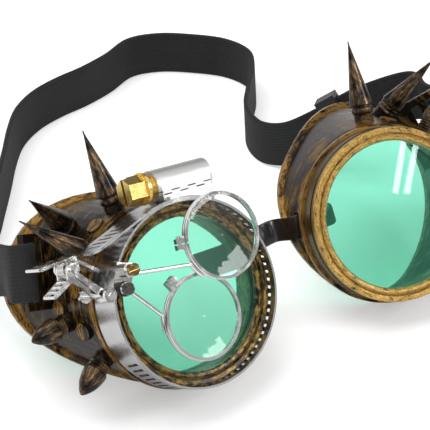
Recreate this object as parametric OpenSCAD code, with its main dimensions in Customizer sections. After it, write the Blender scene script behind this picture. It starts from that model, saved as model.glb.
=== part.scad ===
// Steampunk goggles: two tilted eye cups joined by a nose strap, with horns and bullets on
// their walls, a perforated hose clamp and a clip-on double loupe on the left lens ring, and
// an elastic head strap that stands on its edge in a loop behind. Millimetres, +Z up, the
// lenses look along -Y and X is 0 in the mirror plane of the cups.

/* [Cups] */
// Distance between the two lens centres
lens_spacing = 76.4; // [72:0.2:86]
// Height of the lens centres above the table
lens_height = 36.3; // [36.3:0.1:40]
// Upward tilt of the lenses as the goggles lie
pitch = 30; // [26:1:32]
// Inward turn of each lens towards the nose
toe = 8.5; // [4:0.5:10]
// Radius of the clear lens opening
lens_open_r = 24; // [23:0.5:25]
// Wall thickness of the moulded cups
cup_wall = 2; // [1.6:0.1:2.6]
// Direction of the temple corner of the cup, round the lens axis
temple_angle = 37; // [30:1:42]
// Reach of the eye rim towards the temple corner
rim_out = 38; // [36:0.5:41]
// Reach of the eye rim towards the nose
rim_in = 29; // [28.5:0.5:31]
// Reach of the eye rim towards the brow
rim_up = 33.3; // [32.5:0.1:36]
// Reach of the eye rim towards the cheek
rim_down = 27.2; // [26.5:0.1:29]
// Depth of the eye rim behind the lens opening, in its middle
rim_depth = 32; // [30:0.5:35]
// How much deeper the rim lies at the temple corner
rim_rise_out = 25; // [20:0.5:28]
// How much shallower the rim lies at the nose
rim_rise_in = 15.6; // [10:0.2:16]
// How far the rim lip stands out from the wall
lip_reach = 1.6; // [1:0.1:2.5]
// Thickness of the rim lip
lip_width = 3; // [2:0.1:4]

/* [Lens rings] */
// Thickness of the lens glass
lens_t = 2; // [1.5:0.1:3]
// Depth of the lens behind the front of its ring
lens_set = 3; // [2:0.1:4]
// Thickness of the rubber gasket behind the lens
gasket_t = 1; // [0.6:0.1:1.5]
// Overall length of the ring, front to back
ring_len = 9.7; // [9:0.1:12]
// Wall of the ring's threaded skirt
skirt_wall = 1.6; // [1.2:0.1:2.2]
// Turns of the ring before it comes free
thread_turns = 2; // [1:0.5:3]
// Lead of the ring's thread
thread_lead = 1.6; // [1:0.1:2]
// Radial clearance in the ring's thread
thread_gap = 0.08; // [0.05:0.01:0.1]

/* [Horns and bullets] */
// Length of a horn's cone
horn_len = 22; // [16:0.5:26]
// Radius of a horn's cone at its foot
horn_r = 4; // [3:0.1:4.6]
// Length of a bullet's nose
bullet_len = 9; // [6:0.5:12]
// Radius of a bullet
bullet_r = 3.85; // [3:0.05:4.4]
// Radius of the bosses that carry them
boss_r = 3.2; // [2.6:0.1:3.6]

/* [Straps] */
// Width of the elastic head strap
strap_w = 18; // [14:0.5:19]
// Thickness of the head strap
strap_t = 1.7; // [1.2:0.1:2.2]
// Width of the nose strap
bridge_w = 7.4; // [5:0.1:9]
// Thickness of the nose strap
bridge_t = 1.8; // [1.2:0.1:2.4]
// Clearance round the strap in its lugs and its slider
strap_gap = 0.5; // [0.3:0.1:0.8]

/* [Hose clamp] */
// Width of the clamp band
band_w = 12; // [9:0.5:13]
// Thickness of the clamp band
band_t = 0.7; // [0.5:0.1:1]
// How far the band stands in front of the lens ring
band_front = 3; // [1:0.5:4]
// Pitch of the slots in the band
slot_pitch = 2.4; // [2:0.1:4]
// Width of one slot
slot_w = 1; // [0.6:0.1:1.4]
// Length of one slot
slot_len = 7; // [4:0.5:8]
// Length of the worm housing
housing_len = 20; // [16:0.5:24]
// Outer radius of the worm housing's barrel
housing_r = 4.9; // [4.6:0.1:6]
// Radius of the worm
worm_r = 3.6; // [3:0.1:4]
// Width across the flats of the screw head
head_flats = 8; // [7:0.5:9]
// Length of the free tail of the band
tail_len = 22.5; // [12:0.5:26]

/* [Loupe] */
// Outer radius of the loupe rims
loupe_r = 13.5; // [10:0.5:15]
// Depth of a loupe rim, front to back
loupe_rim_w = 2; // [1.8:0.1:2.6]
// Radius of the arm wires
arm_r = 0.6; // [0.5:0.05:0.8]
// Radius of the clip's pivot pin
pin_r = 0.9; // [0.7:0.05:1.2]
// Radius of the wire of the clip's spring
spring_wire_r = 0.32; // [0.26:0.02:0.34]
// Curls of the clip's spring
spring_curls = 4; // [3:1:6]
// Running clearance in the small joints
joint_gap = 0.06; // [0.03:0.01:0.1]

/* [Hidden] */
$fn = 96;

// Front to back middle of the whole outline, which lies over Y = 0
middle_y = 85.5;

// Radii of the lens, its gasket, the cup's neck and the ring round them, from inside to outside
lens_r = lens_open_r + 2.3;
neck_in_r = lens_open_r + 0.6;
neck_out_r = lens_r + 0.6;
ring_in_r = neck_out_r + thread_gap;
ring_out_r = ring_in_r + skirt_wall;
ring_flange_r = ring_out_r + 0.9;
lens_play = 0.05;
neck_front = lens_set + lens_play + lens_t + gasket_t;
flange_front = ring_len + 0.3;
flange_back = flange_front + 2;

// A spot on a cup: distance from the lens axis, angle round it from the temple, depth
function spot(r, angle, depth) = [r * cos(angle), r * sin(angle), depth];

// Seats of the horns and bullets: angle, depth and height above the wall, with the direction
// that each piece points in and the length of its neck
horn_seats = [[79.3, 20, 1.8], [58.5, 31.1, 1.9], [41.8, 13.2, 0.6]];
horn_ways = [[0.09, 1, 0], [14, 10.9, -12], spot(1, 43, 0)];
horn_necks = [3, 3.4, 4.8];
bullet_seats = [[3.8, 25, 1.6], [-23.5, 18, 1.4]];
bullet_ways = [spot(1, -6, 0), spot(1, -34, 0)];
bullet_neck = 3;

// Round pads moulded on the wall: angle and depth of each
pad_spots = [[63, 20], [27, 36], [12, 27], [-2, 18], [23, 18]];
pad_r = 3;
pad_rise = 0.7;

// Places children in the frame of a cup: Y up the face of the lens, Z to the back along the
// lens axis, from the front of the lens opening, and X to the left of the goggles
module on_cup(side) {
    translate([side * lens_spacing / 2, -middle_y, lens_height])
        rotate([-pitch, 0, 0])
            rotate([0, 0, -side * toe])
                rotate([90, 0, 180])
                    children();
}

// What points to the temple on the left cup points to the other temple on the right one
function on_side(side, p) = [-side * p[0], p[1], p[2]];

// Where a point or a direction of a cup, given from its temple side, lies among both cups
function in_world(side, p) =
    let (
        x = -p[0] * cos(toe) - p[2] * sin(toe) - lens_spacing / 2,
        y = -p[0] * sin(toe) + p[2] * cos(toe)
    )
    [side < 0 ? x : -x, y * cos(pitch) + p[1] * sin(pitch), p[1] * cos(pitch) - y * sin(pitch) + lens_height];
function way_in_world(side, v) = in_world(side, v) - in_world(side, [0, 0, 0]);

// Turns +Z towards a direction
module aim(way) {
    flat = norm([way[0], way[1]]);
    rotate([0, atan2(flat, way[2]), atan2(way[1], way[0])]) children();
}

// A closed skin over rings of points, which also closes from the last ring to the first
module ring_skin(side, rings) {
    count = len(rings);
    sides = len(rings[0]);
    points = [for (ring = rings) each [for (p = ring) on_side(side, p)]];
    faces = [
        for (i = [0 : count - 1], j = [0 : sides - 1])
            let (
                a = i * sides,
                b = ((i + 1) % count) * sides,
                k = (j + 1) % sides,
                pair = side < 0 ? [j, k] : [k, j]
            )
                each [[a + pair[0], b + pair[0], b + pair[1]], [a + pair[0], b + pair[1], a + pair[1]]]
    ];
    polyhedron(points, faces, convexity = 6);
}

// A closed skin over rings of points with flat ends
module tube_skin(rings) {
    count = len(rings);
    sides = len(rings[0]);
    points = [for (ring = rings) each ring];
    walls = [
        for (i = [0 : count - 2], j = [0 : sides - 1])
            let (a = i * sides, b = (i + 1) * sides, k = (j + 1) % sides)
                each [[a + j, b + k, b + j], [a + j, a + k, b + k]]
    ];
    end = (count - 1) * sides;
    first = [for (j = [1 : sides - 2]) [0, j + 1, j]];
    last = [for (j = [1 : sides - 2]) [end, end + j, end + j + 1]];
    polyhedron(points, concat(walls, first, last), convexity = 8);
}

// Eye rim of a cup: distance from the axis, angle and depth at a turn of the oval
rim_square = 0.88;
function rounded(v) = sign(v) * pow(abs(v), rim_square);
function rim_point(turn) =
    let (
        along = rounded(cos(turn)) * (cos(turn) > 0 ? rim_out : rim_in),
        across = rounded(sin(turn)) * (sin(turn) > 0 ? rim_up : rim_down),
        depth = rim_depth + cos(turn) * (cos(turn) > 0 ? rim_rise_out : rim_rise_in)
    )
    [norm([along, across]), temple_angle + atan2(across, along), depth];

cup_sides = 56;
cup_steps = [0, 0.12, 0.34, 0.6, 1];
shell_front_r = ring_out_r + 0.3;

// A ring of the cup wall: share of the way from the neck to the lip, drawn in by inset
function wall_ring(share, inset, from, reach, back) = [
    for (j = [0 : cup_sides - 1])
        let (
            rim = rim_point(360 * j / cup_sides),
            wall_end = rim[2] - lip_width,
            r = shell_front_r + (rim[0] - lip_reach - shell_front_r) * pow(share, 0.8)
        )
        spot(r - inset + reach, rim[1], from + (wall_end - from) * share + back)
];

module cup_wall_shell(side) {
    front = flange_back - 1;
    outer = [for (s = cup_steps) wall_ring(s, 0, front, 0, 0)];
    inner = [for (k = [len(cup_steps) - 1 : -1 : 0]) wall_ring(cup_steps[k], cup_wall, front, 0, 0)];
    lip = [
        wall_ring(1, 0, front, lip_reach, 0.6),
        wall_ring(1, 0, front, lip_reach, lip_width - 0.6),
        wall_ring(1, 0.6, front, lip_reach, lip_width),
        wall_ring(1, cup_wall, front, 0.3, lip_width)
    ];
    ring_skin(side, concat(outer, lip, inner));
}

// Radius of the outer wall near an angle and a depth, for what stands on it
function wall_r(angle, depth) =
    let (
        rim = rim_point(angle - temple_angle),
        share = min(1, max(0, (depth - flange_back + 1) / (rim[2] - lip_width - flange_back + 1)))
    )
    shell_front_r + (rim[0] - lip_reach - shell_front_r) * pow(share, 0.8);

// Puts children on a seat of the wall, with +Z along a direction
function seat_spot(seat) = spot(wall_r(seat[0], seat[1]) + seat[2], seat[0], seat[1]);
module on_seat(side, seat, way) { translate(on_side(side, seat_spot(seat))) aim(on_side(side, way)) children(); }

// Boss from inside the wall to a seat above it
module boss(side, seat, way, r) {
    depth = (seat[2] + 0.6 * cup_wall) / (unit(way) * spot(1, seat[0], 0));
    on_seat(side, seat, way) translate([0, 0, -depth]) cylinder(r = r, h = depth);
}

// Round pad, square to the slope of the wall
module wall_pad(side, at) {
    slope = (wall_r(at[0], at[1] + 1) - wall_r(at[0], at[1] - 1)) / 2;
    boss(side, [at[0], at[1], pad_rise], spot(1, at[0], -slope), pad_r);
}

// Strap lug: a two-slot ladder that stands out of the temple wall
lug_t = 2.4;
lug_bar = 2.4;
lug_root = spot(wall_r(34.9, 33) - 2, 34.9, 33);
lug_turn = 14;
lug_lean = 22;
lug_slot_w = strap_t + 2 * strap_gap + 0.3;
lug_slot_h = strap_w + 2 * strap_gap;
lug_slots = [4.3, 4.3 + lug_slot_w + lug_bar];
lug_reach = lug_slots[1] + lug_slot_w + lug_bar;

// A cup's own point for a place on the lug: out along the ladder, up its bars, behind its face
function lug_way(p) =
    let (x = p[0] * cos(lug_lean) + p[2] * sin(lug_lean), z = p[2] * cos(lug_lean) - p[0] * sin(lug_lean))
    [x * cos(lug_turn) - p[1] * sin(lug_turn), x * sin(lug_turn) + p[1] * cos(lug_turn), z];

module strap_lug(side) {
    height = lug_slot_h + 2 * lug_bar;
    translate(on_side(side, lug_root))
        rotate([0, 0, side < 0 ? lug_turn : 180 - lug_turn])
            rotate([0, lug_lean, 0])
                difference() {
                    translate([-2, -height / 2, -lug_t / 2]) cube([lug_reach + 2, height, lug_t]);
                    for (x = lug_slots)
                        translate([x, -lug_slot_h / 2, -lug_t]) cube([lug_slot_w, lug_slot_h, 2 * lug_t]);
                }
}

// Nose strap's way through the wall, in a cup's own frame
bridge_mouth = spot(wall_r(169.6, 13.6) + 0.15, 169.6, 13.6);
bridge_slope = 10;
function bridge_spot(inward, rise) =
    bridge_mouth + [inward * cos(bridge_slope), rise, inward * sin(bridge_slope)];
module bridge_slot(side) {
    translate(on_side(side, bridge_mouth))
        rotate([0, side * bridge_slope, 0])
            cube([5 * cup_wall + 2, bridge_w + 1, bridge_t + 0.8], center = true);
}

module cup(side) {
    on_cup(side) difference() {
        union() {
            cup_wall_shell(side);
            translate([0, 0, flange_front]) cylinder(r = ring_flange_r, h = flange_back - flange_front);
            translate([0, 0, neck_front]) cylinder(r = neck_out_r, h = flange_back - neck_front);
            for (k = [0 : 2]) boss(side, horn_seats[k], horn_ways[k], boss_r);
            for (k = [0 : 1]) boss(side, bullet_seats[k], bullet_ways[k], boss_r);
            for (at = pad_spots) wall_pad(side, at);
            strap_lug(side);
        }
        translate([0, 0, neck_front - 1]) cylinder(r = neck_in_r, h = flange_back);
        bridge_slot(side);
    }
}

module left_cup() { color("#5b4a33") cup(-1); }
module right_cup() { color("#5b4a33") cup(1); }

module gasket(side) {
    on_cup(side) translate([0, 0, neck_front - gasket_t]) difference() {
        cylinder(r = lens_r, h = gasket_t);
        translate([0, 0, -1]) cylinder(r = neck_in_r, h = gasket_t + 2);
    }
}
module left_gasket() { color("#1c1c1c") gasket(-1); }
module right_gasket() { color("#1c1c1c") gasket(1); }

module lens(side) { on_cup(side) translate([0, 0, lens_set + lens_play]) cylinder(r = lens_r, h = lens_t); }
module left_lens() { color("#6ddcaa") lens(-1); }
module right_lens() { color("#6ddcaa") lens(1); }

// Screwed lens ring: lip, groove, bead, second groove and a plain skirt over the thread
module lens_ring(side) {
    bore_r = lens_r + 0.2;
    profile = [
        [lens_open_r, 0.9], [lens_open_r + 0.5, 0.2], [lens_open_r + 1.3, 0], [lens_open_r + 1.9, 0.5],
        [lens_open_r + 2, 1.1], [lens_open_r + 2.3, 1.1], [lens_open_r + 2.6, 0.3], [ring_out_r - 0.9, 0.1],
        [ring_out_r - 0.2, 0.5], [ring_out_r - 0.05, 1.3], [ring_out_r - 0.2, 2.3], [ring_out_r - 0.6, 2.6],
        [ring_out_r - 0.6, 3.2], [ring_out_r, 3.6], [ring_out_r, ring_len - 0.4], [ring_out_r - 0.4, ring_len],
        [ring_in_r, ring_len], [ring_in_r, neck_front - 0.1], [bore_r, neck_front - 0.1], [bore_r, lens_set],
        [lens_open_r, lens_set]
    ];
    on_cup(side) rotate_extrude() polygon(profile);
}
module left_ring() { color("#6b5426") lens_ring(-1); }
module right_ring() { color("#6b5426") lens_ring(1); }

// A horn with its collar, its groove and its neck, the last one ribbed
module horn(neck, ribbed) {
    collar = 1.8;
    shank_r = boss_r - 0.4;
    ribs = 4;
    cylinder(r = shank_r, h = neck);
    translate([0, 0, neck - collar]) cylinder(r1 = horn_r - 0.5, r2 = horn_r, h = collar);
    translate([0, 0, neck]) cylinder(r1 = horn_r, r2 = 0.35, h = horn_len);
    if (ribbed)
        for (k = [0 : ribs - 1])
            translate([0, 0, 0.3 + k * (neck - collar) / ribs])
                cylinder(r = horn_r - 0.2, h = 0.6 * (neck - collar) / ribs);
}
module horns(side) {
    on_cup(side)
        for (k = [0 : 2]) on_seat(side, horn_seats[k], horn_ways[k]) horn(horn_necks[k], k == 2);
}
module left_horns() { color("#7a6238") horns(-1); }
module right_horns() { color("#7a6238") horns(1); }

// A bullet: an arc-sided nose on a ribbed neck
module bullet() {
    ribs = 3;
    nose = [for (k = [0 : 10]) let (v = k / 10) [bullet_r * pow(1 - pow(v, 2.1), 0.75), bullet_len * v]];
    translate([0, 0, bullet_neck]) rotate_extrude() polygon(concat([[0, 0]], nose));
    cylinder(r = boss_r - 0.5, h = bullet_neck);
    for (k = [0 : ribs - 1])
        translate([0, 0, 0.3 + k * bullet_neck / ribs])
            cylinder(r = bullet_r - 0.3, h = 0.55 * bullet_neck / ribs);
}
module bullets(side) {
    on_cup(side)
        for (k = [0 : 1]) on_seat(side, bullet_seats[k], bullet_ways[k]) bullet();
}
module left_bullets() { color("#7a6238") bullets(-1); }
module right_bullets() { color("#7a6238") bullets(1); }

// Smooth route through chosen points
function between(p0, p1, p2, p3, v) =
    0.5 * (2 * p1 + (p2 - p0) * v + (2 * p0 - 5 * p1 + 4 * p2 - p3) * v * v
        + (3 * p1 - p0 - 3 * p2 + p3) * v * v * v);
function smooth(points, steps) =
    let (n = len(points))
    concat([
        for (i = [0 : n - 2], k = [0 : steps - 1])
            between(points[max(0, i - 1)], points[i], points[i + 1], points[min(n - 1, i + 2)], k / steps)
    ], [points[n - 1]]);
function unit(v) = v / norm(v);

// A flat ribbon along a route: each point has its place and the direction across the ribbon
function ribbon_frame(route, i) =
    let (
        way = unit(route[min(len(route) - 1, i + 1)][0] - route[max(0, i - 1)][0]),
        edge = unit(route[i][1] - (route[i][1] * way) * way)
    )
    [route[i][0], way, edge, cross(way, edge)];
function ribbon_ring(route, i, width, thick) =
    let (
        at = ribbon_frame(route, i),
        w = width / 2,
        t = thick / 2,
        c = thick * 0.3
    )
    [
        for (q = [[w - c, t], [w, t - c], [w, c - t], [w - c, -t], [c - w, -t], [-w, c - t], [-w, t - c], [c - w, t]])
            at[0] + q[0] * at[2] + q[1] * at[3]
    ];
module ribbon(route, width, thick) {
    translate([0, -middle_y, 0])
        tube_skin([for (i = [0 : len(route) - 1]) ribbon_ring(route, i, width, thick)]);
}

// Head strap: it turns round each lug's outer bar, and between them it runs in a loop that
// stands on its edge on the table. Each free point is its place and the lean of its edge.
fold_r = lug_bar / 2 + strap_gap + strap_t / 2;
fold_x = lug_slots[1] + lug_slot_w + lug_bar / 2;
fold_ways = [[-fold_r, 9], [-fold_r, 4], [-fold_r, 0], [-0.8 * fold_r, -1.9], [0, -2.7], [0.8 * fold_r, -1.9], [fold_r, 0], [fold_r, 4]];
function fold(side) = [
    for (q = fold_ways)
        [in_world(side, lug_root + lug_way([fold_x + q[0], 0, q[1]])), way_in_world(side, lug_way([0, 1, 0]))]
];
function backwards(list) = [for (i = [len(list) - 1 : -1 : 0]) list[i]];
strap_mid = strap_w / 2;
free_route = [
    [-82.5, 46, 36, 28], [-86, 62, 27, 18],
    [-81, 81, 17, 8], [-71, 97, 11, 2], [-59, 110, strap_mid, 0], [-49, 125, strap_mid, 0],
    [-40, 139, strap_mid, 0], [-32, 152, strap_mid, 0], [-23, 164, strap_mid, 0], [-12, 172, strap_mid, 0],
    [0, 176, strap_mid, 0], [12, 178, strap_mid, 0], [25, 182, strap_mid, 0], [38, 188, strap_mid, 0],
    [50, 185, strap_mid, 0], [61, 176, strap_mid, 0], [70, 165, strap_mid, 0], [73, 152, strap_mid, 0],
    [68, 140, strap_mid, 0], [58, 127, strap_mid, 0], [50, 115, strap_mid, 0], [48, 102, strap_mid, 0],
    [54, 90, 12, 2], [64, 80, 20, 8], [75, 71, 29, 16], [86.5, 58, 37, 24], [84, 45, 39, 28]
];
strap_route = concat(
    fold(-1),
    [for (p = free_route) [[p[0], p[1], p[2]], [0, sin(p[3]), cos(p[3])]]],
    backwards(fold(1))
);
strap_steps = 3;

strap_line = [for (p = smooth(strap_route, strap_steps)) [[p[0][0], p[0][1], max(p[0][2], strap_mid)], p[1]]];

module head_strap() { color("#161616") ribbon(strap_line, strap_w, strap_t); }

// Slider: a three-bar ladder on the strap behind the right cup
slider_at = 31;
module strap_slider() {
    at = ribbon_frame(strap_line, slider_at * strap_steps + 1);
    bar = 1.6;
    gap = strap_t / 2 + strap_gap;
    tall = strap_w + 2 * strap_gap;
    color("#202020")
        translate([0, -middle_y, 0])
            multmatrix([for (k = [0 : 2]) [at[1][k], at[2][k], at[3][k], at[0][k]]])
                difference() {
                    translate([-2.5 * bar, -tall / 2 - bar, -gap - bar])
                        cube([5 * bar, tall + 2 * bar, 2 * gap + 2 * bar]);
                    translate([-4 * bar, -tall / 2, -gap]) cube([8 * bar, tall, 2 * gap]);
                }
}

// Nose strap: a ribbon from inside one cup, through its wall, to inside the other
bridge_end = 14;
function bridge_half(side) = [
    for (inward = [bridge_end, 8, 2, -3])
        [in_world(side, bridge_spot(inward, 0)), way_in_world(side, [0, 1, 0])]
];
bridge_peak = [[0, 15.6, lens_height - 0.7], [0, sin(pitch), cos(pitch)]];
bridge_route = concat(bridge_half(-1), [bridge_peak], backwards(bridge_half(1)));
module bridge_strap() { color("#101010") ribbon(smooth(bridge_route, 4), bridge_w, bridge_t); }

// Studs that hold the nose strap's ends inside the cups
module bridge_studs() {
    color("silver")
        for (side = [-1, 1])
            on_cup(side)
                translate(on_side(side, bridge_spot(bridge_end - 3.5, 0)))
                    rotate([0, side * bridge_slope, 0])
                        translate([0, 0, bridge_t / 2 + 0.05]) cylinder(r1 = 2.2, r2 = 1.4, h = 1.2);
}

// Clamp band: a ring on the lens ring's skirt, slotted but for its plain start, with a second
// layer under the housing that leaves it as a straight free tail
band_in_r = ring_out_r;
band_out_r = band_in_r + band_t;
tail_from = 75;
layer_to = 122;
plain_from = -28;
plain_to = 121;
tail_sink = 0.03;
tail_tip_r = 4;
module wedge(r, from, to) {
    turns = [from, (from + to) / 2, to];
    polygon(concat([[0, 0]], [for (turn = turns) [r * cos(turn), r * sin(turn)]]));
}
module band_outline() {
    difference() {
        circle(r = band_out_r);
        circle(r = band_in_r);
    }
    intersection() {
        difference() {
            circle(r = band_out_r + band_t);
            circle(r = band_in_r);
        }
        wedge(2 * band_out_r, tail_from, layer_to);
    }
    rotate(tail_from) translate([band_out_r - tail_sink, -tail_len]) square([band_t, tail_len + 1.2]);
}
module slot(depth) {
    rotate([8, 0, 0]) cube([depth, slot_w, slot_len], center = true);
}
module tip_corner() {
    rotate([90, 0, 90])
        linear_extrude(4 * band_t, center = true)
            difference() {
                translate([-1, -1]) square(tail_tip_r + 1);
                translate([tail_tip_r, tail_tip_r]) circle(r = tail_tip_r);
            }
}
module clamp_band() {
    slotted = 360 + plain_from - plain_to;
    slots = floor(slotted / 360 * 2 * PI * band_in_r / slot_pitch);
    tail_slots = floor((tail_len - 2) / slot_pitch);
    mid = band_w / 2 - band_front;
    color("#c9ccd0")
        on_cup(-1)
            difference() {
                translate([0, 0, -band_front]) linear_extrude(band_w) band_outline();
                for (k = [0 : slots])
                    rotate([0, 0, plain_to + k * slotted / slots]) translate([band_in_r, 0, mid]) slot(3);
                rotate([0, 0, tail_from])
                    translate([band_out_r + band_t / 2, 0, mid]) {
                        for (k = [3 : tail_slots]) translate([0, -k * slot_pitch, 0]) slot(2 * band_t);
                        for (flip = [0, 1])
                            mirror([0, 0, flip]) translate([0, -tail_len, -band_w / 2]) tip_corner();
                    }
            }
}

// Worm housing: a barrel on a saddle that follows the band
housing_angle = 95;
housing_shift = 5.7;
housing_axis_r = band_out_r + band_t + housing_r;
module on_housing() {
    on_cup(-1)
        rotate([0, 0, housing_angle])
            translate([housing_axis_r, 0, band_w / 2 - band_front])
                children();
}
module clamp_housing() {
    side_wall = 0.8;
    color("#d4d7da")
        difference() {
            on_housing()
                translate([0, housing_shift, 0])
                    difference() {
                        union() {
                            rotate([90, 0, 0]) cylinder(r = housing_r, h = housing_len, center = true);
                            translate([-housing_r - 4, -housing_len / 2 + 2, -band_w / 2 - side_wall])
                                cube([5, housing_len - 4, band_w + 2 * side_wall]);
                            translate([-housing_r, -housing_len / 2 + 1, -housing_r])
                                cube([housing_r, housing_len - 2, 2 * housing_r]);
                        }
                        rotate([90, 0, 0]) cylinder(r = worm_r + joint_gap, h = housing_len + 2, center = true);
                    }
            on_cup(-1) translate([0, 0, -band_front - 2]) cylinder(r = band_out_r + band_t + 0.02, h = band_w + 4);
        }
}

// Worm screw: the worm, its neck, a collar and a slotted hexagon head
module worm_screw() {
    neck = 2.4;
    collar = 1;
    head = 6;
    color("#d8a93a")
        on_housing()
            translate([0, housing_shift, 0])
                rotate([90, 0, 0]) {
                    translate([0, 0, -housing_len / 2 + 1]) cylinder(r = worm_r, h = housing_len - 1);
                    translate([0, 0, housing_len / 2]) cylinder(r = worm_r - 0.6, h = neck);
                    translate([0, 0, housing_len / 2 + neck]) cylinder(r = head_flats / 2 + 1.1, h = collar);
                    translate([0, 0, housing_len / 2 + neck + collar])
                        difference() {
                            cylinder(d = head_flats / cos(30), h = head, $fn = 6);
                            translate([-head_flats, -0.6, head - 1.8]) cube([2 * head_flats, 1.2, 3]);
                        }
                }
}

// Loupe: pivots, planes and rim centres in the left cup's frame
function polar(r, angle) = [r * cos(angle), r * sin(angle)];
upper_pivot = polar(band_in_r - 0.3, 33.5);
lower_pivot = polar(band_in_r - 1, 22.2);
upper_plane = -10.6;
lower_plane = -7.5;
upper_centre = [-9.5, 15.2];
lower_centre = [3.4, -6.3];
knuckle_back = -4.5;
knuckle_r = 2.3;
eye_t = 1.3;
stub_r = 1.1;

// Clip: a saddle on the band, a fixed finger plate and a sprung lever under it
clip_angle = 27;
clip_pivot = polar(band_out_r + 14.8, 28.8);
saddle_t = 1;
clip_front = knuckle_back;
clip_back = band_w - band_front + 0.4;

module clip_plate(from, to, thick, z0, z1) {
    translate([0, 0, z0])
        linear_extrude(z1 - z0)
            hull() {
                translate(from) circle(r = thick / 2, $fn = 24);
                translate(to) circle(r = thick / 2, $fn = 24);
            }
}

module clip_body() {
    color("#dcdedf")
        on_cup(-1) {
            difference() {
                rotate([0, 0, clip_angle - 4])
                    translate([0, 0, clip_front])
                        rotate_extrude(angle = 15)
                            translate([band_in_r - 4.4, 0])
                                square([4.4 + band_t + saddle_t, clip_back - clip_front]);
                translate([0, 0, clip_front + saddle_t]) cylinder(r = band_out_r, h = 40);
            }
            clip_plate(polar(band_out_r + 6.3, 30.7), clip_pivot + [-1, 3.1], 1, -3.4, 4.2);
            clip_plate(clip_pivot + [-1, 3.1], clip_pivot + [10.4, 3.2], 1, -4.6, 4.2);
            for (z = [-4.6, 3.4])
                translate([clip_pivot[0], clip_pivot[1], z])
                    linear_extrude(0.8)
                        difference() {
                            hull() {
                                circle(r = 2, $fn = 32);
                                translate([-0.5, 3.2]) square([3, 0.6], center = true);
                            }
                            circle(r = pin_r);
                        }
        }
}

module clip_pin() {
    color("#e6e6e6")
        on_cup(-1)
            translate([clip_pivot[0], clip_pivot[1], -5.6]) {
                cylinder(r = pin_r, h = 10.8);
                cylinder(r = pin_r + 0.7, h = 0.9);
                translate([0, 0, 9.9]) cylinder(r = pin_r + 0.7, h = 0.9);
            }
}

// Ears of the lever: thickness, and front faces of the two
ear_t = 0.8;
ear_fronts = [-3.6, 2.5];
lever_mid = (ear_fronts[0] + ear_t + ear_fronts[1]) / 2;

// Torsion spring: one wire that winds round the pin with a straight leg at each end
spring_r = 2.1;
spring_pitch = 2 * spring_wire_r + 0.42;
function spring_point(turn) = [
    clip_pivot[0] + spring_r * cos(turn),
    clip_pivot[1] + spring_r * sin(turn),
    lever_mid + spring_pitch * ((turn - 90) / 360 - (spring_curls + 0.25) / 2)
];
module clip_spring() {
    sides = 6;
    rings = 8;
    turns = [for (k = [0 : (spring_curls + 0.25) * rings]) k * 360 / rings + 90];
    first = spring_point(turns[0]);
    last = spring_point(turns[len(turns) - 1]);
    path = concat([first + [3.4, 0, 0]], [for (t = turns) spring_point(t)], [last + [0, -3.4, 0]]);
    n = len(path);
    tube = [
        for (i = [0 : n - 1])
            let (
                way = unit(path[min(n - 1, i + 1)] - path[max(0, i - 1)]),
                out = unit(cross(way, [0, 0, 1])),
                up = cross(out, way)
            )
            [for (j = [0 : sides - 1]) path[i] + spring_wire_r * (cos(360 * j / sides) * out + sin(360 * j / sides) * up)]
    ];
    echo(spring_self_gap = spring_pitch - 2 * spring_wire_r);
    color("#b9bcc0") on_cup(-1) tube_skin(tube);
}

// Sprung lever: two ears on the pin, a ladder-shaped finger plate and two jaw legs
lever_tip = clip_pivot + [8, -6];
jaw_foot = polar(band_out_r + 2.7, 18.4);
rod_r = 0.6;
module clip_lever() {
    color("#dcdedf")
        on_cup(-1) {
            for (z = ear_fronts)
                translate([0, 0, z])
                    linear_extrude(ear_t)
                        difference() {
                            union() {
                                hull() {
                                    translate(clip_pivot) circle(r = 1.9, $fn = 32);
                                    translate(clip_pivot + [1.6, -3]) circle(r = 0.8, $fn = 32);
                                }
                                hull() {
                                    translate(clip_pivot + [1.6, -3]) circle(r = 0.8, $fn = 32);
                                    translate(lever_tip) circle(r = 0.5, $fn = 32);
                                }
                                hull() {
                                    translate(clip_pivot + [-0.4, -1.4]) circle(r = 0.8, $fn = 32);
                                    translate(jaw_foot) circle(r = 1.1, $fn = 32);
                                }
                            }
                            translate(clip_pivot) circle(r = pin_r + joint_gap);
                            translate(jaw_foot) circle(r = rod_r);
                        }
            for (share = [0.1, 0.4, 0.7, 1]) {
                spot_at = (clip_pivot + [1.6, -3]) * (1 - share) + lever_tip * share;
                translate([spot_at[0], spot_at[1], ear_fronts[0]]) cylinder(r = 0.5, h = ear_fronts[1] + ear_t - ear_fronts[0]);
            }
        }
}
module clip_rod() {
    color("#e0e0e0")
        on_cup(-1) translate([jaw_foot[0], jaw_foot[1], -6.6]) cylinder(r = rod_r, h = 18);
}
module clip_pads() {
    color("#e8e8e8")
        on_cup(-1)
            for (z = [-6, 9.6])
                translate([jaw_foot[0], jaw_foot[1], z])
                    difference() {
                        cylinder(r = 2.1, h = 1.2);
                        translate([0, 0, -1]) cylinder(r = rod_r, h = 4);
                    }
}

// Knuckles: a round block and a stub for each arm, on the saddle's front leg
module knuckle(pivot, eye_plane) {
    block_front = eye_plane + eye_t / 2 + joint_gap;
    translate([pivot[0], pivot[1], block_front]) cylinder(r = knuckle_r, h = knuckle_back - block_front);
    translate([pivot[0], pivot[1], eye_plane - eye_t / 2 - 2 * joint_gap]) cylinder(r = stub_r, h = knuckle_back - eye_plane + eye_t / 2);
}
module knuckle_blocks() {
    color("#d0d0d0")
        on_cup(-1) {
            knuckle(upper_pivot, upper_plane);
            knuckle(lower_pivot, lower_plane);
        }
}
module pivot_screw(pivot, eye_plane) {
    front = eye_plane - eye_t / 2 - 2 * joint_gap;
    on_cup(-1)
        translate([pivot[0], pivot[1], front - 0.9])
            difference() {
                cylinder(r = 1.9, h = 0.9);
                translate([-3, -0.25, -1]) cube([6, 0.5, 1.4]);
            }
}
module upper_pivot_screw() { color("#b99b4a") pivot_screw(upper_pivot, upper_plane); }
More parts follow.
